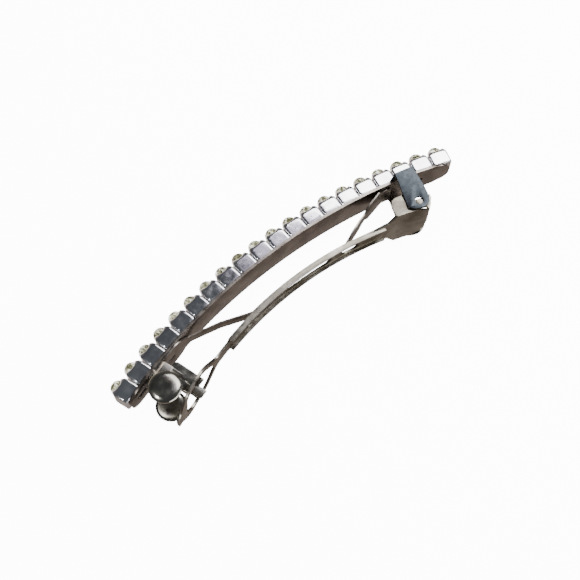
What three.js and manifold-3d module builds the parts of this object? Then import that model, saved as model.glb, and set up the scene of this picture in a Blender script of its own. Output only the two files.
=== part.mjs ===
// Rhinestone hair clip: a French barrette with a row of square-set stones. Millimetres.
// The clip lies on its side: +X runs along it to the hinge, +Y is the stone side, +Z is its width.
// Shapes are laid out along the bow of the back plate: s is the length along the bow from its middle,
// r is the height above the plate's top face.
import * as THREE from 'three';
import { mergeVertices } from 'three/addons/utils/BufferGeometryUtils.js';
import Module from 'manifold-3d';

const wasm = await Module();
wasm.setup();

// Triangles that stand less than this out of one plane are joined after a cut.
const MERGE = 0.004;
// Long enough to pass through the whole clip.
const CUT_DEPTH = 60;
// Bow and plate
const BOW_R = 120.6;
const PLATE_T = 0.6;
const PLATE_HALF = 3.3;
const PLATE_START = -41.4;
const PLATE_END = 41.2;
const FIT_GAP = 0.06;
const LEFT_TONGUE_HALF = 3.1;
const RIGHT_TONGUE_HALF = 2.7;
// Slots are [from, to, half width] along the bow.
const PLATE_SLOTS = [[-39.5, -36.2, 0.5], [34.0, 35.0, 0.5]];
// Ears and pivot
const EAR_IN = 5.35;
const EAR_OUT = 5.85;
const PIVOT = [29.9, -7.7];
const EAR_HOLE = [29.9, -7.5];
const EAR_HOLE_R = 0.85;
const NIB_R = 0.6;
const NIB_ROOT = 0.1;
const NIB_SHORT = 0.15;
// Arm
const ARM_T = 0.5;
const ARM_HALF = 2.2;
const ARM_TOP = -6.75;
const ARM_DROP = 0.0019;
const ARM_TIP = -39.8;
const ARM_PLAN_R = -8.5;
const ARM_FLANGE = 1.1;
const FLANGE_T = 0.4;
const ARM_TIP_HALF = 1.9;
const ARM_LOW_S = -2;
const ARM_SLOTS = [[-15.5, 8.6, 1.35], [11.2, 15.4, 1.2]];
const LOOP_HALF = 4.9;
const WINDOW_HALF = 3.8;
const CHEEK_IN = 4.75;
const CHEEK_OUT = 5.15;
// Tension bar
const BAR_T = 0.35;
const BAR_HALF = 1.25;
const BAR_LIFT = 0.12;
const BAR_SLIT = [-31.0, -28.4, 0.25];
// Catch
const CATCH_S = -34.0;
const LEG_T = 0.4;
const PAD_R = 3.1;
const PAD_AT = [-2.1, -5.15];
const PAD_DISH = [[PAD_R, 5.75], [2.8, 5.98], [2.1, 6.19], [1.1, 6.31], [0, 6.35]];
const PAD_HOLLOW = [[0, 5.95], [1.1, 5.91], [2.0, 5.8], [2.6, 5.65], [2.6, 5.35], [PAD_R, 5.35]];
const WING_LEG = [[3.42, -0.75], [3.8, -0.75], [5.7, -2.3], [5.7, -4.2], [5.4, -4.2], [5.4, -2.4]];
const WING_WIDTH = [-1.8, 1.75];
const HOOK_Z = [3.15, 3.55];
const BARB_OUT = 3.7;
// Stone row
const STONES = 20;
const PITCH = 4.2;
const CUP_SIDE = 4.08;
const CUP_H = 3.6;
const CUP_CORNER = 0.3;
const CUP_DIP_HALF = 1.5;
const CUP_FLOOR = 0.4;
const SEAT_R = 1.78;
const STONE_R = 1.72;
const STONE_SIDES = 16;
const STONE_SEAT_Y = 2.7;
const STONE_TOP_Y = 5.0;

const PLATE_STEEL = { color: 0x958e88, roughness: 0.34, metalness: 1.0 };
const ARM_STEEL = { color: 0x8f8a80, roughness: 0.32, metalness: 1.0 };
const BAR_STEEL = { color: 0x6f675f, roughness: 0.36, metalness: 1.0 };
const CATCH_STEEL = { color: 0x9aa0a2, roughness: 0.22, metalness: 1.0 };
const CUP_SILVER = { color: 0xc9ccd2, roughness: 0.14, metalness: 1.0 };
const STONE_CLEAR = { color: 0xd9d8c4, roughness: 0.06, metalness: 0.0 };

// A point of the side view, laid out along the bow.
function onBow(s, r) {
  const turn = s / BOW_R;
  return new THREE.Vector2((BOW_R + r) * Math.sin(turn), (BOW_R + r) * Math.cos(turn) - BOW_R);
}

function bowShape(points) {
  return new THREE.Shape(points.map(([s, r]) => onBow(s, r)));
}

function solid(geometry) {
  const g = geometry.clone();
  g.deleteAttribute('normal');
  g.deleteAttribute('uv');
  const merged = mergeVertices(g, 1e-5);
  const vertProperties = new Float32Array(merged.attributes.position.array);
  const triVerts = new Uint32Array(merged.index.array);
  return new wasm.Manifold(new wasm.Mesh({ numProp: 3, vertProperties, triVerts }));
}

function geometryOf(manifold) {
  const mesh = manifold.simplify(MERGE).getMesh();
  const g = new THREE.BufferGeometry();
  g.setAttribute('position', new THREE.BufferAttribute(new Float32Array(mesh.vertProperties), 3));
  g.setIndex(new THREE.BufferAttribute(new Uint32Array(mesh.triVerts), 1));
  return g;
}

// A side-view outline given thickness across the width, from z0 to z1.
function slab(shape, z0, z1) {
  const g = new THREE.ExtrudeGeometry(shape, { depth: z1 - z0, bevelEnabled: false, curveSegments: 12 });
  g.translate(0, 0, z0);
  return solid(g);
}

// A plan-view outline, [s, z] pairs at height r, cut straight down through the whole clip.
function planPrism(outline, r) {
  const at = outline.map(([s, z]) => new THREE.Vector2(onBow(s, r).x, -z));
  const g = new THREE.ExtrudeGeometry(new THREE.Shape(at), { depth: CUT_DEPTH, bevelEnabled: false });
  g.rotateX(-Math.PI / 2);
  g.translate(0, -CUT_DEPTH * 2 / 3, 0);
  return solid(g);
}

// Both halves of a plan outline that is symmetric about the middle of the width.
function mirroredPlan(half, r) {
  const onAxis = 1e-6;
  const upper = half.map(([s, z]) => [s, z < onAxis ? 0 : z]);
  const lower = upper.filter(([, z]) => z > 0).map(([s, z]) => [s, -z]);
  return planPrism([...upper, ...lower.reverse()], r);
}

function steps(from, to, count) {
  return Array.from({ length: count + 1 }, (_, i) => from + ((to - from) * i) / count);
}

// A sheet that follows a middle line of [s, r] points, thick enough either side of it.
function sheetShape(line, thickness) {
  const at = line.map(([s, r]) => onBow(s, r));
  const side = (sign) => at.map((p, i) => {
    const a = at[Math.max(i - 1, 0)];
    const b = at[Math.min(i + 1, at.length - 1)];
    const along = b.clone().sub(a).normalize();
    return new THREE.Vector2(p.x - (sign * along.y * thickness) / 2, p.y + (sign * along.x * thickness) / 2);
  });
  return new THREE.Shape([...side(1), ...side(-1).reverse()]);
}

function roundEnd(s, half, sign, count) {
  return steps(0, Math.PI / 2, count).map((a) => [s - sign * half * (1 - Math.sin(a)), half * Math.cos(a)]);
}

function pinThrough(s, r, radius, z0, z1) {
  const at = onBow(s, r);
  const g = new THREE.CylinderGeometry(radius, radius, z1 - z0, 24);
  g.rotateX(Math.PI / 2);
  g.translate(at.x, at.y, (z0 + z1) / 2);
  return solid(g);
}

// The two z limits of a piece that stands between two distances from the middle, on one side.
function sided(side, inner, outer) {
  return side > 0 ? [inner, outer] : [-outer, -inner];
}

function slotPlan(s0, s1, half, r) {
  const right = roundEnd(s1, half, 1, 4);
  const left = roundEnd(s0, half, -1, 4).reverse();
  return mirroredPlan([...left, ...right], r);
}

// Back plate: bowed strip, rounded tongues, ears folded down at the hinge.
function plateSolid() {
  const line = steps(PLATE_START, PLATE_END, 44).map((s) => [s, -PLATE_T / 2]);
  const strip = slab(sheetShape(line, PLATE_T), -EAR_OUT, EAR_OUT);
  const half = [
    ...roundEnd(PLATE_START, LEFT_TONGUE_HALF, -1, 5).reverse(),
    [-36.6, PLATE_HALF],
    [27.4, PLATE_HALF],
    [28.4, EAR_OUT],
    [32.3, EAR_OUT],
    [33.2, PLATE_HALF],
    [37.6, 3.1],
    ...roundEnd(PLATE_END, RIGHT_TONGUE_HALF, 1, 5),
  ];
  let plate = strip.intersect(mirroredPlan(half, 0));
  for (const slot of PLATE_SLOTS) {
    plate = plate.subtract(slotPlan(...slot, 0));
  }
  const ear = bowShape([
    [28.4, -0.1], [32.3, -0.1], [32.45, -5.3], [32.3, -7.4], [31.8, -8.5], [31.1, -9.0], [30.3, -9.2],
    [29.2, -9.1], [27.9, -8.7], [27.2, -8.1], [27.05, -7.5],
  ]);
  for (const [z0, z1] of [[EAR_IN, EAR_OUT], [-EAR_OUT, -EAR_IN]]) {
    plate = plate.add(slab(ear, z0, z1));
  }
  return plate.subtract(pinThrough(...EAR_HOLE, EAR_HOLE_R, -EAR_OUT - 1, EAR_OUT + 1));
}

// Height of the arm's top face: it falls away from the plate towards both ends.
function armTop(s) {
  return ARM_TOP - ARM_DROP * (s - ARM_LOW_S) ** 2;
}

// Clip arm: bowed channel with a looped end, two slots and cheeks at the hinge.
function armSolid() {
  const heel = [[31.2, -8.95], [32.2, -8.4], [32.9, -7.6], [33.2, -6.8]];
  const line = [...steps(ARM_TIP, 30, 40).map((s) => [s, armTop(s) - ARM_T / 2]), ...heel];
  const web = slab(sheetShape(line, ARM_T), -CHEEK_OUT, CHEEK_OUT);
  const half = [
    ...roundEnd(ARM_TIP, ARM_TIP_HALF, -1, 4).reverse(),
    [-37.4, 2.8], [-35.8, 4.3], [-34.4, LOOP_HALF], [-29.6, LOOP_HALF], [-28.2, 4.3], [-25.4, 2.0],
    [-24.4, 1.5], [-20.8, 1.5], [-20.2, ARM_HALF], [19.0, ARM_HALF], [22.4, 3.0], [24.2, CHEEK_OUT],
    [28.4, CHEEK_OUT], [30.6, 4.0], [32.2, 2.6], [36.0, 2.4], [36.0, 0],
  ];
  let arm = web.intersect(mirroredPlan(half, ARM_PLAN_R));
  const flangeLine = steps(-20.2, 21.5, 24).map((s) => [s, armTop(s) - ARM_FLANGE / 2]);
  const flange = sheetShape(flangeLine, ARM_FLANGE);
  const cheek = bowShape([
    [23.9, -8.3], [24.1, -6.2], [24.9, -4.95], [25.8, -4.7], [28.0, -4.7], [28.8, -5.3], [29.3, -6.7],
    [30.2, -7.0], [31.2, -6.8], [32.9, -6.75], [32.8, -7.7], [32.2, -8.5], [31.2, -9.15], [29.8, -8.9],
    [27.0, -8.7],
  ]);
  for (const side of [1, -1]) {
    arm = arm.add(slab(flange, ...sided(side, ARM_HALF - FLANGE_T, ARM_HALF)));
    arm = arm.add(slab(cheek, ...sided(side, CHEEK_IN, CHEEK_OUT)));
    arm = arm.add(pinThrough(...PIVOT, NIB_R, ...sided(side, CHEEK_IN + NIB_ROOT, EAR_OUT - NIB_SHORT)));
  }
  const window = mirroredPlan([
    [-36.2, 0], [-35.9, 1.8], [-34.6, 3.4], [-33.6, WINDOW_HALF], [-29.8, WINDOW_HALF], [-28.5, 3.1],
    [-26.0, 0.8], [-25.8, 0],
  ], ARM_PLAN_R);
  arm = arm.subtract(window);
  for (const slot of ARM_SLOTS) {
    arm = arm.subtract(slotPlan(...slot, ARM_PLAN_R));
  }
  return arm;
}

// Tension bar: flat ends under the plate, slanting legs, middle lying along the arm.
function barSolid() {
  const underPlate = -PLATE_T - FIT_GAP - BAR_T / 2;
  const rest = (s) => armTop(s) + BAR_LIFT + BAR_T / 2;
  const middle = steps(-12.2, 12.6, 14).map((s) => [s, rest(s)]);
  const line = [
    ...steps(-31.6, -25.6, 4).map((s) => [s, underPlate]),
    [-24.8, underPlate - 0.12],
    [-24.0, underPlate - 0.42],
    [-18.4, -3.6],
    [-13.4, -6.15],
    ...middle,
    [13.6, -6.35],
    [20.4, -2.9],
    [24.4, underPlate - 0.3],
    [25.2, underPlate - 0.06],
    [26.0, underPlate],
    [27.4, underPlate],
  ];
  const strip = slab(sheetShape(line, BAR_T), -PLATE_HALF, PLATE_HALF);
  const half = [
    [-33, 0], [-33, 3.2], [-27.6, 3.2], [-26.2, 2.6], [-24.4, BAR_HALF], [13.2, BAR_HALF], [14.2, 1.8],
    [17.2, 1.8], [18.4, BAR_HALF], [19.4, BAR_HALF], [20.6, 2.6], [24.2, 2.9], [25.4, 2.2],
    [28.5, 2.0], [28.5, 0],
  ];
  const bar = strip.intersect(mirroredPlan(half, 0));
  return bar.subtract(slotPlan(...BAR_SLIT, 0));
}

// Stands a shape built around the catch's own spot onto the bow.
function atCatch(manifold) {
  const g = geometryOf(manifold);
  const at = onBow(CATCH_S, 0);
  g.rotateZ(-CATCH_S / BOW_R);
  g.translate(at.x, at.y, 0);
  return solid(g);
}

function localBox(x0, x1, y0, y1, z0, z1) {
  const g = new THREE.BoxGeometry(x1 - x0, y1 - y0, z1 - z0);
  g.translate((x0 + x1) / 2, (y0 + y1) / 2, (z0 + z1) / 2);
  return solid(g);
}

function catchBaseSolid() {
  const top = -PLATE_T - FIT_GAP;
  return atCatch(localBox(-1.8, 1.75, top - LEG_T, top, -3.3, 3.3));
}

// Pressed finger pad: a thin dished disc, hollow on the inside.
function padSolid() {
  const points = [...PAD_DISH, ...PAD_HOLLOW, PAD_DISH[0]].map(([r, h]) => new THREE.Vector2(r, h));
  const g = new THREE.LatheGeometry(points, 32);
  g.rotateX(Math.PI / 2);
  g.translate(PAD_AT[0], PAD_AT[1], 0);
  return solid(g);
}

// The leg is folded down from the plate's edge and splays out to the pad.
function legSolid() {
  const shape = new THREE.Shape(WING_LEG.map(([z, y]) => new THREE.Vector2(-z, y)));
  const depth = WING_WIDTH[1] - WING_WIDTH[0];
  const g = new THREE.ExtrudeGeometry(shape, { depth, bevelEnabled: false });
  g.rotateY(Math.PI / 2);
  g.translate(WING_WIDTH[0], 0, 0);
  return solid(g);
}

// The hook hangs inside the leg, reaches through the arm's window and ends in a barb.
function hookSolid() {
  const side = new THREE.Shape();
  side.moveTo(1.38, -3.0);
  side.lineTo(2.8, -3.0);
  side.absarc(2.8, -3.8, 0.8, Math.PI / 2, 0, true);
  side.lineTo(3.6, -9.5);
  side.lineTo(1.9, -9.5);
  side.lineTo(1.38, -8.6);
  const depth = HOOK_Z[1] - HOOK_Z[0];
  const g = new THREE.ExtrudeGeometry(side, { depth, bevelEnabled: false, curveSegments: 6 });
  g.translate(0, 0, HOOK_Z[0]);
  return solid(g).add(localBox(2.0, 3.5, -9.45, -9.1, HOOK_Z[0] + 0.1, BARB_OUT));
}

// One springy wing: leg, finger pad, a turned-in web, and the hook.
function wingSolid() {
  const web = localBox(1.3, 1.7, -6.1, -2.75, HOOK_Z[0] + 0.1, WING_LEG[4][0] + 0.15);
  return legSolid().add(padSolid()).add(web).add(hookSolid());
}

function mirrorWidth(geometry) {
  const g = geometry.clone();
  g.scale(1, 1, -1);
  const index = g.index.array;
  for (let i = 0; i < index.length; i += 3) {
    [index[i + 1], index[i + 2]] = [index[i + 2], index[i + 1]];
  }
  return g;
}

// Square cup with a round seat; each wall dips in the middle and its corners stand up as claws.
function cupSolid() {
  const half = CUP_SIDE / 2;
  const flat = half - CUP_CORNER;
  const corners = [[-flat, -half], [flat, -half], [half, -flat], [half, flat]];
  const outline = [...corners, ...corners.map(([x, y]) => [-x, -y])];
  const shape = new THREE.Shape(outline.map(([x, y]) => new THREE.Vector2(x, y)));
  const block = new THREE.ExtrudeGeometry(shape, { depth: CUP_H, bevelEnabled: false });
  block.rotateX(-Math.PI / 2);
  const seat = new THREE.CylinderGeometry(SEAT_R, SEAT_R, CUP_H, STONE_SIDES);
  seat.translate(0, CUP_FLOOR + CUP_H / 2, 0);
  let cup = solid(block).subtract(solid(seat));
  for (const turn of [0, Math.PI / 2]) {
    const dip = new THREE.Shape();
    dip.moveTo(-CUP_DIP_HALF, CUP_H + 0.2);
    dip.quadraticCurveTo(-CUP_DIP_HALF / 2, STONE_SEAT_Y, 0, STONE_SEAT_Y);
    dip.quadraticCurveTo(CUP_DIP_HALF / 2, STONE_SEAT_Y, CUP_DIP_HALF, CUP_H + 0.2);
    const g = new THREE.ExtrudeGeometry(dip, { depth: 6, bevelEnabled: false, curveSegments: 3 });
    g.translate(0, 0, -3);
    g.rotateY(turn);
    cup = cup.subtract(solid(g));
  }
  return cup;
}

// Round clear stone: pointed underside, narrow girdle, sloping crown and flat table.
function stoneSolid() {
  const profile = [
    [0, 0.75], [STONE_R - 0.02, STONE_SEAT_Y - 0.2], [STONE_R, STONE_SEAT_Y + 0.1],
    [1.5, STONE_SEAT_Y + 1.1], [1.0, STONE_TOP_Y - 0.4], [0.6, STONE_TOP_Y - 0.1], [0, STONE_TOP_Y],
  ];
  const g = new THREE.LatheGeometry(profile.map(([r, y]) => new THREE.Vector2(r, y)), STONE_SIDES);
  return solid(g);
}

function placed(manifold, s) {
  const g = geometryOf(manifold);
  const at = onBow(s, FIT_GAP);
  g.rotateZ(-s / BOW_R);
  g.translate(at.x, at.y, 0);
  return g;
}

const clip = new THREE.Group();
clip.name = 'rhinestone_hair_clip';

function addMesh(name, geometry, look) {
  const material = new THREE.MeshStandardMaterial(look);
  material.name = name;
  const mesh = new THREE.Mesh(geometry, material);
  mesh.name = name;
  clip.add(mesh);
}

addMesh('back_plate', geometryOf(plateSolid()), PLATE_STEEL);
addMesh('clip_arm', geometryOf(armSolid()), ARM_STEEL);
addMesh('tension_bar', geometryOf(barSolid()), BAR_STEEL);
addMesh('catch_base', geometryOf(catchBaseSolid()), CATCH_STEEL);
const wing = geometryOf(atCatch(wingSolid()));
addMesh('catch_wing_near', wing, CATCH_STEEL);
addMesh('catch_wing_far', mirrorWidth(wing), CATCH_STEEL);
const cup = cupSolid();
const stone = stoneSolid();
for (let i = 0; i < STONES; i += 1) {
  const s = (i - (STONES - 1) / 2) * PITCH;
  const tag = String(i + 1).padStart(2, '0');
  addMesh(`cup_${tag}`, placed(cup, s), CUP_SILVER);
  addMesh(`stone_${tag}`, placed(stone, s), STONE_CLEAR);
}

// The origin is the middle of the clip's own box in length and height, at its lowest point.
const box = new THREE.Box3().setFromObject(clip);
const middle = box.getCenter(new THREE.Vector3());
for (const mesh of clip.children) {
  mesh.geometry.translate(-middle.x, -middle.y, -box.min.z);
  mesh.geometry.computeVertexNormals();
}

export default clip;
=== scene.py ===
# %% [markdown]
# # A rhinestone hair clip
# A French barrette lies on its side: a bowed back plate with a row of square-set stones on top, a
# hinged arm under it, a thin tension bar between them, and a pinch catch with two domed finger pads.
# Every piece is rebuilt here with rounded edges and its own procedural finish, in metres, over the
# fixed frame that the CAD model gives. +X runs to the hinge, +Y is the stone side, +Z is the width.

import bmesh
import bpy
import math
import random
from mathutils import Matrix, Vector


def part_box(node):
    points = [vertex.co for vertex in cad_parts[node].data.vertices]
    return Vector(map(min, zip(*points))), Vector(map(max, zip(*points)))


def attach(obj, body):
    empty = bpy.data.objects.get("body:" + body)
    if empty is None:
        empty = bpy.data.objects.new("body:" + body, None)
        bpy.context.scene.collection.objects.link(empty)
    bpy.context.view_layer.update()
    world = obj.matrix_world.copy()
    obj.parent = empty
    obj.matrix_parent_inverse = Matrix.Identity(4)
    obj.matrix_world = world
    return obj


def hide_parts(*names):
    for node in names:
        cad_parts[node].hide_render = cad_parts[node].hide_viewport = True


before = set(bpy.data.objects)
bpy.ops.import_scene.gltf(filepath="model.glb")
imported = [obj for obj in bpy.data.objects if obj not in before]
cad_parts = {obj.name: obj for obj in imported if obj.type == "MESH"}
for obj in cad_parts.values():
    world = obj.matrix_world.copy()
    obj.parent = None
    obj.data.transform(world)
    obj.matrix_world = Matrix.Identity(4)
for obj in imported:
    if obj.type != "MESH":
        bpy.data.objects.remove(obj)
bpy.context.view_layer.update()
MM = 0.001

# %% [markdown]
# ## Where the bow lies
# The back plate is bent to a circle. A hand-drawn curve could follow it, but a circle is exact and
# needs only a radius, which is a dimension of the part. The height of its top is worked out from the
# tenth cup, half a pitch from the middle of the bow, and the middle of the width from the first cup.

# %%
# Find the bow
BOW_R = 120.6 * MM
PITCH = 4.2 * MM
COUNT = 20
CUP_SIDE = 4.08 * MM
CUP_GAP = 0.06 * MM
cup_low, cup_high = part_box("cup_01")
mid_z = (cup_low[2] + cup_high[2]) / 2
ten_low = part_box("cup_10")[0]
half_pitch_turn = PITCH / 2 / BOW_R
base_y = (ten_low[1] + (CUP_SIDE + PITCH) / 2 * math.sin(half_pitch_turn) - CUP_GAP
          + BOW_R * (1 - math.cos(half_pitch_turn)))
print("bow top height %.3f mm, middle of the width %.3f mm" % (base_y / MM, mid_z / MM))

# %% [markdown]
# ## Small helpers for materials
# A finish could be painted as an image, but an image blurs when the view comes close. Each finish
# here is a short node tree read in Object coordinates instead, so it is sharp at any distance and
# stays on its piece in any pose. Five helpers keep those trees short.

# %%
# Material helpers
def node(tree, kind, **values):
    """Adds a node and sets its options by name."""
    made = tree.nodes.new(kind)
    for key, value in values.items():
        setattr(made, key, value)
    return made


def ramp(tree, source, stops):
    """Turns a 0 to 1 value into a colour, by places and colours."""
    made = node(tree, "ShaderNodeValToRGB")
    tree.links.new(source, made.inputs["Fac"])
    while len(made.color_ramp.elements) < len(stops):
        made.color_ramp.elements.new(0.5)
    for element, (place, colour) in zip(made.color_ramp.elements, stops):
        element.position = place
        element.color = (*colour, 1)
    return made.outputs["Color"]


def noise(tree, where, scale, detail=4.0):
    """A soft random pattern with about this many bumps in a metre."""
    made = node(tree, "ShaderNodeTexNoise")
    made.inputs["Scale"].default_value = scale
    made.inputs["Detail"].default_value = detail
    tree.links.new(where, made.inputs["Vector"])
    return made.outputs["Fac"]


def maths(tree, operation, *values):
    """A sum of links or plain numbers."""
    made = node(tree, "ShaderNodeMath", operation=operation)
    for socket, value in zip(made.inputs, values):
        if isinstance(value, bpy.types.NodeSocket):
            tree.links.new(value, socket)
        else:
            socket.default_value = value
    return made.outputs[0]


def grey(level):
    return (level, level, level)


print("helpers:", [f.__name__ for f in (node, ramp, noise, maths, grey)])

# %% [markdown]
# ## Plated steel
# The steel parts are nickel plated and the cups are silver plated. Plating is never even: the colour
# drifts a little, fingers leave dull patches, and rolling and tumbling leave very fine scratches. So
# one recipe mixes two tones, a patchy gloss and a fine bump, and each part gets its own numbers.

# %%
# Write the plating recipe
DRIFT_SCALE = 210.0
SMUDGE_SCALE = 700.0
SCRATCH_SCALE = 1500.0
SCRATCH_DEPTH = 0.05 * MM


def plated(name, light, dark, rough, stretch, bump=0.05):
    """Plated metal: two drifting tones, patchy gloss and fine scratches."""
    material = bpy.data.materials.new(name)
    material.use_nodes = True
    tree = material.node_tree
    shader = tree.nodes["Principled BSDF"]
    shader.inputs["Metallic"].default_value = 1.0
    where = node(tree, "ShaderNodeTexCoord").outputs["Object"]
    drift = noise(tree, where, DRIFT_SCALE, 5.0)
    tree.links.new(ramp(tree, drift, [(0.34, dark), (0.62, light)]), shader.inputs["Base Color"])
    smudge = noise(tree, where, SMUDGE_SCALE, 6.0)
    low, high = rough
    tree.links.new(ramp(tree, smudge, [(0.3, grey(low)), (0.7, grey(high))]), shader.inputs["Roughness"])
    squeeze = node(tree, "ShaderNodeMapping")
    squeeze.inputs["Scale"].default_value = stretch
    tree.links.new(where, squeeze.inputs["Vector"])
    scratch = noise(tree, squeeze.outputs["Vector"], SCRATCH_SCALE, 3.0)
    press = node(tree, "ShaderNodeBump")
    press.inputs["Strength"].default_value = bump
    press.inputs["Distance"].default_value = SCRATCH_DEPTH
    tree.links.new(scratch, press.inputs["Height"])
    tree.links.new(press.outputs["Normal"], shader.inputs["Normal"])
    return material


print("tones drift over about %.1f mm" % (1 / DRIFT_SCALE / MM))

# %%
# Mix the platings
ALONG_STRIP = (0.15, 1, 1)
ALONG_BAR = (0.12, 1, 1)
EVEN = (1, 1, 1)
plate_steel = plated("plate_steel", light=(0.31, 0.28, 0.255), dark=(0.155, 0.133, 0.117),
                     rough=(0.20, 0.36), stretch=ALONG_STRIP, bump=0.10)
arm_steel = plated("arm_steel", light=(0.37, 0.35, 0.305), dark=(0.17, 0.152, 0.115),
                   rough=(0.22, 0.38), stretch=ALONG_STRIP, bump=0.10)
spring_steel = plated("spring_steel", light=(0.27, 0.245, 0.22), dark=(0.13, 0.112, 0.095),
                      rough=(0.24, 0.40), stretch=ALONG_BAR, bump=0.10)
catch_steel = plated("catch_steel", light=(0.44, 0.43, 0.39), dark=(0.23, 0.22, 0.185),
                     rough=(0.12, 0.26), stretch=EVEN, bump=0.04)
cup_silver = plated("cup_silver", light=(0.90, 0.91, 0.93), dark=(0.64, 0.64, 0.68),
                    rough=(0.05, 0.19), stretch=EVEN, bump=0.09)
print("platings:", [m.name for m in bpy.data.materials if m.name.endswith(("steel", "silver"))])

# %% [markdown]
# ## The dark ear
# One ear of the plate looks darker and bluer than the rest, because it mirrors a darker part of the room
# than the cups beside it. It could be a piece with a material of its own, but plate and ears are one
# pressing.
# So a painted dark reflection goes into the plate's own colour past one line along the clip and one
# line across it.

# %%
# Darken the near ear
EAR_FROM_X = 24 * MM
EAR_FROM_Z = mid_z + 3.7 * MM
# Colour of the painted dark reflection on the near ear, mottled a little by a cloud pattern.
EAR_PAINTED_REFLECTION = (0.042, 0.049, 0.056)
CLOUD_SCALE = 900.0


def painted_reflection_patch(material, from_x, from_z, colour):
    """Paints a darker reflection into the colour beyond an x line and above a z line."""
    tree = material.node_tree
    shader = tree.nodes["Principled BSDF"]
    where = node(tree, "ShaderNodeTexCoord").outputs["Object"]
    split = node(tree, "ShaderNodeSeparateXYZ")
    tree.links.new(where, split.inputs[0])
    past = maths(tree, "GREATER_THAN", split.outputs["X"], from_x)
    above = maths(tree, "GREATER_THAN", split.outputs["Z"], from_z)
    cloud = noise(tree, where, CLOUD_SCALE)
    tone = ramp(tree, cloud, [(0.3, tuple(0.6 * c for c in colour)), (0.7, colour)])
    mix = node(tree, "ShaderNodeMix", data_type="RGBA")
    plain = shader.inputs["Base Color"].links[0].from_socket
    tree.links.new(maths(tree, "MULTIPLY", past, above), mix.inputs["Factor"])
    tree.links.new(plain, mix.inputs["A"])
    tree.links.new(tone, mix.inputs["B"])
    tree.links.new(mix.outputs["Result"], shader.inputs["Base Color"])


# The near ear's darker blue-grey is a painted reflection in the plate's colour.
painted_reflection_patch(plate_steel, EAR_FROM_X, EAR_FROM_Z, EAR_PAINTED_REFLECTION)
print("dark ear past x %.1f mm and z %.2f mm" % (EAR_FROM_X / MM, EAR_FROM_Z / MM))

# %% [markdown]
# ## Pressed steel parts
# Plate, arm, tension bar and catch are stamped from sheet. Stamping rounds every edge a little, and
# it is those rounded edges that carry the thin bright lines. The parts could be drawn again from
# nothing, but then they might miss the frame's holes and hooks. So a copy of each frame node is used:
# its flat triangles are joined into whole faces and its sharp edges get a small round bevel. Only
# edges sharper than the bevel's limit are treated, so the bowed faces stay smooth.

# %%
# Tools for pressed parts
SAME_POINT = 1e-6
FLAT_WITHIN = math.radians(0.6)


def whole_faces(mesh):
    """Joins doubled points and flat triangles, and turns all faces outwards."""
    bm = bmesh.new()
    bm.from_mesh(mesh)
    bmesh.ops.remove_doubles(bm, verts=bm.verts, dist=SAME_POINT)
    bmesh.ops.dissolve_limit(bm, angle_limit=FLAT_WITHIN, verts=bm.verts, edges=bm.edges)
    bmesh.ops.recalc_face_normals(bm, faces=bm.faces)
    bm.to_mesh(mesh)
    bm.free()


def settled(obj):
    """Turns an object's live modifiers into plain mesh."""
    shape = bpy.data.meshes.new_from_object(obj.evaluated_get(bpy.context.evaluated_depsgraph_get()))
    obj.modifiers.clear()
    obj.data = shape
    return obj


def smooth_by_angle(mesh, degrees):
    """Shades smooth, but keeps edges sharper than an angle crisp."""
    for face in mesh.polygons:
        face.use_smooth = True
    bm = bmesh.new()
    bm.from_mesh(mesh)
    for edge in bm.edges:
        edge.smooth = edge.calc_face_angle(0.0) < math.radians(degrees)
    bm.to_mesh(mesh)
    bm.free()


print("triangles within %.1f degrees are joined" % math.degrees(FLAT_WITHIN))

# %%
# Write the press
ROUND_FROM = math.radians(35)
SMOOTH_BELOW = 38


def pressed(name, source, material, width, body):
    """A frame node's shape with rounded edges and a finish, riding on its body."""
    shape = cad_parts[source].data.copy()
    shape.name = name
    whole_faces(shape)
    obj = bpy.data.objects.new(name, shape)
    bpy.context.collection.objects.link(obj)
    edge = obj.modifiers.new("rounded_edges", "BEVEL")
    edge.width = width
    edge.segments = 3
    edge.limit_method = "ANGLE"
    edge.angle_limit = ROUND_FROM
    edge.use_clamp_overlap = True
    edge.harden_normals = False
    settled(obj)
    obj.data.materials.clear()
    obj.data.materials.append(material)
    smooth_by_angle(obj.data, SMOOTH_BELOW)
    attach(obj, body)
    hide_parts(source)
    print(name, "faces:", len(obj.data.polygons))


print("edges over %.0f degrees get rounded" % math.degrees(ROUND_FROM))

# %%
# Build the pressed parts
pressed("plate_pressing", "back_plate", plate_steel, 0.13 * MM, "frame")
pressed("arm_pressing", "clip_arm", arm_steel, 0.12 * MM, "arm")
pressed("bar_strip", "tension_bar", spring_steel, 0.07 * MM, "frame")
pressed("catch_bracket", "catch_base", catch_steel, 0.08 * MM, "frame")
pressed("wing_near_pressing", "catch_wing_near", catch_steel, 0.09 * MM, "wing_near")
pressed("wing_far_pressing", "catch_wing_far", catch_steel, 0.09 * MM, "wing_far")

# %% [markdown]
# ## One setting cup
# A setting is drawn from thin brass as a square cup with softly rounded upright edges. Its four corner
# claws are bent in over the stone, and the wall between two claws dips. A box with a thickness
# modifier would be quicker, but its claws couldn't lean. So the cup is a grid of rings that runs up
# the outside, over the lip and down the inside to the seat. The wall has real thickness, and the lip
# can catch a bright line.

# %%
# Size a cup
WALL = 0.18 * MM
CORNER = 0.4 * MM
LEAST_CORNER = 0.12 * MM
CORNER_SHRINK = 0.6
WALL_TOP = 3.3 * MM
CLAW_RISE = 0.55 * MM
CLAW_REACH = 0.36
BEND_FROM = 2.85 * MM
BEND_IN = 0.6 * MM
BEND_CURVE = 1.4
FLAT_SHARE = 0.74
BASE_ROUND = 0.12 * MM
SEAT_LEVEL = 0.13
SEAT_INSET = 2.2 * WALL
ROUND = 72
OUTSIDE = (0.0, 0.04, 0.3, 0.6, 0.8, 0.88, 0.94, 0.98)
INSIDE = (0.97, 0.9, 0.8, 0.6, 0.3)
CUP_SMOOTH_BELOW = 50
print("cup %.2f mm wide, wall %.2f mm thick" % (CUP_SIDE / MM, WALL / MM))


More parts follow.
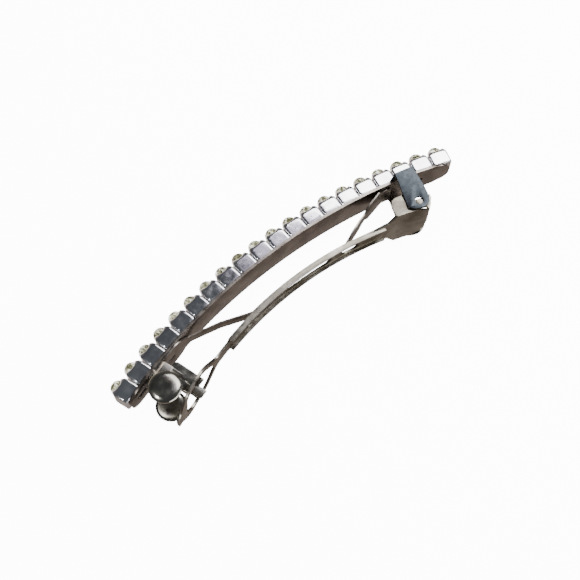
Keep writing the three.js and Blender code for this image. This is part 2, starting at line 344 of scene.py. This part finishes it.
# %%
# Draw round a cup
def square_point(turn, half, corner):
    """A point on a rounded square, walking round it once as turn goes from 0 to 1."""
    side = turn * 4
    k = int(side) % 4
    t = side - int(side)
    straight = half - corner
    if t < FLAT_SHARE:
        p = Vector((half, -straight + 2 * straight * t / FLAT_SHARE))
    else:
        a = (t - FLAT_SHARE) / (1 - FLAT_SHARE) * math.pi / 2
        p = Vector((straight + corner * math.cos(a), straight + corner * math.sin(a)))
    return Matrix.Rotation(k * math.pi / 2, 2) @ p


def claw(turn):
    """1 at a corner claw, falling smoothly to 0 along the wall."""
    t = (turn * 4) % 1.0
    corner_at = (1 + FLAT_SHARE) / 2
    from_corner = min(abs(t - corner_at), abs(t + 1 - corner_at))
    return max(0.0, 1 - (from_corner / CLAW_REACH) ** 2)


def leaning(height):
    """How far the wall has bent in over the stone at a height."""
    return BEND_IN * max(0.0, (height - BEND_FROM) / (WALL_TOP + CLAW_RISE - BEND_FROM)) ** BEND_CURVE


def cup_ring(bm, level, inset):
    """Adds one ring of points at a share of the wall's height."""
    ring = []
    for i in range(ROUND):
        turn = i / ROUND
        height = level * (WALL_TOP + CLAW_RISE * claw(turn))
        push = leaning(height) + inset
        p = square_point(turn, CUP_SIDE / 2 - push, max(CORNER - CORNER_SHRINK * push, LEAST_CORNER))
        ring.append(bm.verts.new((p.x, height, p.y)))
    return ring


print("claw tip %.2f mm high, leaning in %.2f mm" % ((WALL_TOP + CLAW_RISE) / MM,
                                                     leaning(WALL_TOP + CLAW_RISE) / MM))


# %%
# Model a cup
def cup_mesh():
    """One whole cup: bottom, outside, lip, inside and seat."""
    bm = bmesh.new()
    rings = [cup_ring(bm, 0.0, BASE_ROUND)]
    rings += [cup_ring(bm, level, 0.0) for level in OUTSIDE[1:]]
    rings += [cup_ring(bm, 1.0, 0.3 * WALL), cup_ring(bm, 1.0, 0.7 * WALL)]
    rings += [cup_ring(bm, level, WALL) for level in INSIDE]
    rings.append(cup_ring(bm, SEAT_LEVEL, SEAT_INSET))
    for a, b in zip(rings, rings[1:]):
        for i in range(ROUND):
            j = (i + 1) % ROUND
            bm.faces.new((a[i], a[j], b[j], b[i]))
    bm.faces.new(rings[0])
    bm.faces.new(list(reversed(rings[-1])))
    bmesh.ops.recalc_face_normals(bm, faces=bm.faces)
    mesh = bpy.data.meshes.new("cup_shape")
    bm.to_mesh(mesh)
    bm.free()
    smooth_by_angle(mesh, CUP_SMOOTH_BELOW)
    mesh.materials.append(cup_silver)
    return mesh


cup_shape = cup_mesh()
print("one cup:", len(cup_shape.polygons), "faces")

# %% [markdown]
# ## One stone
# The stones are machine-cut glass with a mirror foil behind. The crown is a small eight-sided table
# with rings of slanting facets down to the girdle, and the pavilion below it runs to a point. Facets
# could be sliced off a ball one by one, but rings of points inside one convex hull give the same true
# flat facets in a few lines. Faces below the girdle are marked for the foil.

# %%
# Cut a stone
GLASS, FOIL = 0, 1
FACETS_FLAT_WITHIN = math.radians(1.0)
STONE_RINGS = (
    # corners, radius and height in millimetres, turn in steps
    (8, 0.66, 4.98, 0.0),   # rim of the table
    (8, 1.14, 4.66, 0.5),   # star facets
    (16, 1.44, 4.12, 0.0),  # upper crown
    (16, 1.64, 3.45, 0.5),  # lower crown
    (16, 1.71, 2.86, 0.0),  # top of the girdle
    (16, 1.71, 2.72, 0.0),  # bottom of the girdle
    (8, 0.95, 1.70, 0.0),   # pavilion
)
STONE_POINT = 0.8 * MM
FOIL_BELOW = 2.7 * MM


def stone_mesh():
    """Rings of points in one hull, with the faces below the girdle marked for foil."""
    bm = bmesh.new()
    for count, radius, height, offset in STONE_RINGS:
        for i in range(count):
            a = (i + offset) / count * 2 * math.pi
            bm.verts.new((radius * math.cos(a) * MM, height * MM, radius * math.sin(a) * MM))
    bm.verts.new((0, STONE_POINT, 0))
    bmesh.ops.convex_hull(bm, input=bm.verts)
    bmesh.ops.dissolve_limit(bm, angle_limit=FACETS_FLAT_WITHIN, verts=bm.verts, edges=bm.edges)
    bmesh.ops.recalc_face_normals(bm, faces=bm.faces)
    for face in bm.faces:
        face.material_index = FOIL if face.calc_center_median().y < FOIL_BELOW else GLASS
    mesh = bpy.data.meshes.new("stone_shape")
    bm.to_mesh(mesh)
    bm.free()
    return mesh


stone_shape = stone_mesh()
print("one stone:", len(stone_shape.polygons), "facets")

# %% [markdown]
# ## Glass and foil
# A foil-backed stone flashes light and dark facets, because each facet sends the eye to another part
# of the room. Clear glass traced through a foil would need many bounces and still look noisy. So each
# facet gets a painted reflection instead: its own brightness, as an attribute, painted into the glass
# colour, with a little real transmission and a few dull spots on top.

# %%
# Mix the glass and the foil
GLASS_BENDING = 1.56
SEE_THROUGH = 0.35
DULL_SCALE = 1600.0


def cut_glass():
    """Glass over foil with painted reflection: each facet's colour is its own mix of light and dark."""
    material = bpy.data.materials.new("clear_stone")
    material.use_nodes = True
    tree = material.node_tree
    shader = tree.nodes["Principled BSDF"]
    shader.inputs["IOR"].default_value = GLASS_BENDING
    shader.inputs["Transmission Weight"].default_value = SEE_THROUGH
    glint = node(tree, "ShaderNodeAttribute", attribute_name="glint").outputs["Fac"]
    # Painted reflection: each facet's value picks a colour from near black to bright pale yellow.
    stops = [(0.0, (0.02, 0.02, 0.012)), (0.45, (0.10, 0.098, 0.05)),
             (0.7, (0.42, 0.42, 0.28)), (0.92, (0.96, 0.96, 0.82))]
    tree.links.new(ramp(tree, glint, stops), shader.inputs["Base Color"])
    where = node(tree, "ShaderNodeTexCoord").outputs["Object"]
    dull = noise(tree, where, DULL_SCALE)
    tree.links.new(ramp(tree, dull, [(0.35, grey(0.015)), (0.75, grey(0.07))]), shader.inputs["Roughness"])
    return material


clear_stone = cut_glass()
stone_foil = plated("stone_foil", light=(0.86, 0.85, 0.76), dark=(0.42, 0.40, 0.30),
                    rough=(0.08, 0.22), stretch=EVEN, bump=0.02)
stone_shape.materials.append(clear_stone)
stone_shape.materials.append(stone_foil)
print("stone finishes:", [m.name for m in stone_shape.materials])

# %% [markdown]
# ## The row of settings
# A chain of settings repeats one shape along the bow. An array with a curve modifier would bend the
# cups themselves, so Geometry Nodes lays them out instead: a line of points is bent onto the bow by
# its index, each point carries one copy turned to stand square on the plate, and the copies are
# realised and given their finish. Count, pitch and radius are named inputs. A little seeded turn
# keeps the stones from flashing all together.

# %%
# Bend a line of points
def vector(tree, **sums):
    """A vector from links for X, Y or Z."""
    made = node(tree, "ShaderNodeCombineXYZ")
    for axis, value in sums.items():
        tree.links.new(value, made.inputs[axis])
    return made.outputs[0]


def bent_line(tree, given):
    """A line of points bent onto the bow, and how far each is turned along it."""
    line = node(tree, "GeometryNodeMeshLine")
    tree.links.new(given.outputs["Count"], line.inputs["Count"])
    middle = maths(tree, "MULTIPLY", maths(tree, "SUBTRACT", given.outputs["Count"], 1), 0.5)
    index = node(tree, "GeometryNodeInputIndex").outputs[0]
    along = maths(tree, "MULTIPLY", maths(tree, "SUBTRACT", index, middle), given.outputs["Pitch"])
    turn = maths(tree, "DIVIDE", along, given.outputs["Bow Radius"])
    reach = maths(tree, "ADD", given.outputs["Bow Radius"], CUP_GAP)
    x = maths(tree, "MULTIPLY", maths(tree, "SINE", turn), reach)
    rise = maths(tree, "MULTIPLY", maths(tree, "COSINE", turn), reach)
    y = maths(tree, "SUBTRACT", rise, given.outputs["Bow Radius"])
    bend = node(tree, "GeometryNodeSetPosition")
    tree.links.new(line.outputs["Mesh"], bend.inputs["Geometry"])
    tree.links.new(vector(tree, X=x, Y=y), bend.inputs["Position"])
    return bend.outputs["Geometry"], turn


print("end settings lean %.1f degrees" % math.degrees((COUNT - 1) / 2 * PITCH / BOW_R))

# %%
# Turn and paint the copies
SPIN_SEED = 7


def stand_square(tree, given, turn):
    """Each copy's rotation: a seeded spin on its own axis, then the lean of the bow."""
    chance = node(tree, "FunctionNodeRandomValue")
    chance.inputs["Seed"].default_value = SPIN_SEED
    spin = maths(tree, "MULTIPLY", chance.outputs[1], given.outputs["Spin"])
    own = node(tree, "FunctionNodeEulerToRotation")
    tree.links.new(vector(tree, Y=spin), own.inputs[0])
    lean = node(tree, "FunctionNodeEulerToRotation")
    tree.links.new(vector(tree, Z=maths(tree, "MULTIPLY", turn, -1)), lean.inputs[0])
    both = node(tree, "FunctionNodeRotateRotation")
    tree.links.new(own.outputs[0], both.inputs["Rotation"])
    tree.links.new(lean.outputs[0], both.inputs["Rotate By"])
    return both.outputs["Rotation"]


def painted(tree, geometry, materials):
    """Gives every face the material of its own number."""
    number = node(tree, "GeometryNodeInputMaterialIndex").outputs[0]
    for index, material in enumerate(materials):
        paint = node(tree, "GeometryNodeSetMaterial")
        paint.inputs["Material"].default_value = material
        tree.links.new(maths(tree, "COMPARE", number, index), paint.inputs["Selection"])
        tree.links.new(geometry, paint.inputs["Geometry"])
        geometry = paint.outputs["Geometry"]
    return geometry


print("spin seed", SPIN_SEED)


# %%
# Write the row's node tree
def row_tree(shape):
    """Copies of a shape, evenly pitched and turned square to the bow."""
    tree = bpy.data.node_groups.new("setting_row_" + shape.name, "GeometryNodeTree")
    tree.interface.new_socket("Geometry", in_out="OUTPUT", socket_type="NodeSocketGeometry")
    for name, kind, value in (("Count", "NodeSocketInt", COUNT), ("Pitch", "NodeSocketFloat", PITCH),
                              ("Bow Radius", "NodeSocketFloat", BOW_R), ("Spin", "NodeSocketFloat", 0.0)):
        socket = tree.interface.new_socket(name, in_out="INPUT", socket_type=kind)
        socket.default_value = value
    tree.interface.new_socket("Shape", in_out="INPUT", socket_type="NodeSocketObject")
    given = node(tree, "NodeGroupInput")
    points, turn = bent_line(tree, given)
    model = node(tree, "GeometryNodeObjectInfo")
    tree.links.new(given.outputs["Shape"], model.inputs["Object"])
    copies = node(tree, "GeometryNodeInstanceOnPoints")
    tree.links.new(points, copies.inputs["Points"])
    tree.links.new(model.outputs["Geometry"], copies.inputs["Instance"])
    tree.links.new(stand_square(tree, given, turn), copies.inputs["Rotation"])
    real = node(tree, "GeometryNodeRealizeInstances")
    tree.links.new(copies.outputs["Instances"], real.inputs["Geometry"])
    out = node(tree, "NodeGroupOutput")
    tree.links.new(painted(tree, real.outputs["Geometry"], shape.materials), out.inputs["Geometry"])
    print(tree.name, "nodes:", len(tree.nodes))
    return tree


cup_tree = row_tree(cup_shape)
stone_tree = row_tree(stone_shape)

# %% [markdown]
# ## Run the rows
# The tree needs an object to copy and an object to sit on. Both are made for the moment: the model is
# removed again, and the row becomes one plain mesh, because the export drops live copies. Each facet
# of the stones then gets its brightness from a seeded dice.

# %%
# Lay out the cups and stones
# Seed for the painted reflections on the stone facets.
PAINTED_GLINT_SEED = 11
STONE_SPIN = 0.8
names = ["%02d" % (i + 1) for i in range(COUNT)]


def setting_row(name, shape, tree, spin, sources):
    """Runs a row tree on one shape and settles it into one mesh on the frame."""
    model = bpy.data.objects.new(shape.name, shape)
    bpy.context.collection.objects.link(model)
    holder = bpy.data.objects.new(name, bpy.data.meshes.new(name))
    bpy.context.collection.objects.link(holder)
    modifier = holder.modifiers.new("row", "NODES")
    modifier.node_group = tree
    ids = {s.name: s.identifier for s in tree.interface.items_tree if getattr(s, "in_out", "") == "INPUT"}
    modifier[ids["Shape"]] = model
    modifier[ids["Spin"]] = spin
    settled(holder)
    holder.data.transform(Matrix.Translation((0, base_y, mid_z)))
    bpy.data.objects.remove(model)
    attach(holder, "frame")
    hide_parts(*sources)
    print(name, "faces:", len(holder.data.polygons))
    return holder


def add_painted_glint(obj):
    """Gives every facet its own seeded brightness of painted reflection."""
    dice = random.Random(PAINTED_GLINT_SEED)
    values = [dice.random() for _ in obj.data.polygons]
    obj.data.attributes.new("glint", "FLOAT", "FACE").data.foreach_set("value", values)


setting_row("cup_row", cup_shape, cup_tree, 0.0, ["cup_" + n for n in names])
add_painted_glint(setting_row("stone_row", stone_shape, stone_tree, STONE_SPIN, ["stone_" + n for n in names]))

# %% [markdown]
# ## The table
# The clip lies on a plain pale table. A lit white card could be lifted by strong lamps, but those
# would burn out the metal. So the table glows by itself, and the plating doesn't mirror it.

# %%
# Lay the table
TABLE_GLOW = 12.0
TABLE_SIDE = 4.0
TABLE_Z = -0.2 * MM


def floor_material():
    material = bpy.data.materials.new("pale_table")
    material.use_nodes = True
    shader = material.node_tree.nodes["Principled BSDF"]
    shader.inputs["Base Color"].default_value = (0.95, 0.95, 0.95, 1)
    shader.inputs["Roughness"].default_value = 0.9
    shader.inputs["Emission Color"].default_value = (1, 1, 1, 1)
    shader.inputs["Emission Strength"].default_value = TABLE_GLOW
    return material


def stage_floor():
    """A wide glowing sheet just under the clip."""
    bpy.ops.mesh.primitive_plane_add(size=TABLE_SIDE, location=(0, 0, TABLE_Z))
    floor = bpy.context.object
    floor.name = "table_top"
    floor.data.materials.append(floor_material())
    floor.visible_glossy = False
    print("table glow", TABLE_GLOW)


stage_floor()

# %% [markdown]
# ## The room
# Metal shows its room more than its own colour. A picture of a room would need a file, so a ramp by
# height stands in for it: warm brown below, grey above. A bright patch low on the stones' side lights
# the faces that turn away from the lamps.

# %%
# Paint the room
PATCH_FROM = 0.62
PATCH_FULL = 0.85
PATCH_GAIN = 9.0


def set_world():
    """A dim room: warm brown below, cool grey above."""
    world = bpy.data.worlds.new("room")
    world.use_nodes = True
    tree = world.node_tree
    back = tree.nodes["Background"]
    where = node(tree, "ShaderNodeTexCoord").outputs["Generated"]
    split = node(tree, "ShaderNodeSeparateXYZ")
    tree.links.new(where, split.inputs[0])
    lift = node(tree, "ShaderNodeMapRange")
    lift.inputs["From Min"].default_value = -1.0
    tree.links.new(split.outputs["Z"], lift.inputs["Value"])
    stops = [(0.0, (0.42, 0.36, 0.32)), (0.3, (0.30, 0.26, 0.23)), (0.48, (0.06, 0.055, 0.05)),
             (0.62, (0.22, 0.21, 0.20)), (0.8, (0.075, 0.08, 0.084)), (1.0, (0.09, 0.097, 0.105))]
    tree.links.new(ramp(tree, lift.outputs["Result"], stops), back.inputs["Color"])
    glow = node(tree, "ShaderNodeMapRange")
    glow.inputs["From Min"].default_value = PATCH_FROM
    glow.inputs["From Max"].default_value = PATCH_FULL
    tree.links.new(split.outputs["Y"], glow.inputs["Value"])
    below = maths(tree, "LESS_THAN", split.outputs["Z"], 0.0)
    patch = maths(tree, "MULTIPLY", glow.outputs["Result"], below)
    tree.links.new(maths(tree, "MULTIPLY_ADD", patch, PATCH_GAIN, 1.0), back.inputs["Strength"])
    bpy.context.scene.world = world
    print("room of", len(tree.nodes), "nodes")


set_world()

# %% [markdown]
# ## The lamps
# A large softbox hangs beyond the hinge end, so the cups there flash white, while the catch end looks
# past it into the dim room and stays dark. Point lamps would give hard dots on every claw, so all the
# lamps are panels. Three weaker ones tint the middle cups, lift the underside of the plate and put
# the round highlight on the finger pad.

# %%
# Hang the lamps
def soft_lamp(name, at, towards, size, power, colour=(1, 1, 1)):
    """A rectangular panel of light, with its size in metres and its power in watts."""
    data = bpy.data.lights.new(name, "AREA")
    data.shape = "RECTANGLE"
    data.size, data.size_y = size
    data.energy = power
    data.color = colour
    lamp = bpy.data.objects.new(name, data)
    lamp.location = at
    lamp.rotation_euler = (Vector(towards) - Vector(at)).to_track_quat("-Z", "Y").to_euler()
    bpy.context.collection.objects.link(lamp)


soft_lamp("big_softbox", at=(0.240, 0.10, 0.30), towards=(0.240, 0.10, 0), size=(0.24, 0.34), power=2.2)
soft_lamp("lilac_card", at=(0.098, 0.10, 0.30), towards=(0.098, 0.10, 0), size=(0.045, 0.30), power=0.045,
          colour=(0.86, 0.76, 0.95))
soft_lamp("edge_strip", at=(0.06, -0.26, 0.15), towards=(0, 0, 0), size=(0.42, 0.09), power=0.6)
soft_lamp("pad_lamp", at=(-0.16, 0.02, 0.22), towards=(-0.03, 0, 0), size=(0.03, 0.03), power=0.2)
print("lamps:", {lamp.name: round(lamp.energy, 3) for lamp in bpy.data.lights})

# %% [markdown]
# ## The view
# The clip is seen from above its open side, close enough that its near end looks larger. The view is
# set by two angles, a small roll and a distance from a point in the clip, which is easier to adjust
# than a place and three turns.

# %%
# Set the camera
SENSOR_WIDTH = 36
NEAREST = 5 * MM


def set_camera(azimuth, elevation, roll, distance, target, lens):
    """Looks at a point from two angles and a distance; the lens is in millimetres."""
    a, e = math.radians(azimuth), math.radians(elevation)
    away = Vector((math.sin(a) * math.cos(e), -math.cos(a) * math.cos(e), math.sin(e)))
    data = bpy.data.cameras.new("view")
    data.lens = lens
    data.sensor_width = SENSOR_WIDTH
    data.clip_start = NEAREST
    camera = bpy.data.objects.new("view", data)
    camera.location = Vector(target) + away * distance
    turn = (-away).to_track_quat("-Z", "Y") @ Matrix.Rotation(math.radians(roll), 3, "Z").to_quaternion()
    camera.rotation_mode = "QUATERNION"
    camera.rotation_quaternion = turn
    bpy.context.collection.objects.link(camera)
    bpy.context.scene.camera = camera


set_camera(azimuth=-39.927, elevation=65.435, roll=0.472, distance=0.19536,
           target=(-0.00207, -0.00157, 0.00414), lens=61.19)
print("camera at", [round(v, 4) for v in bpy.context.scene.camera.location])
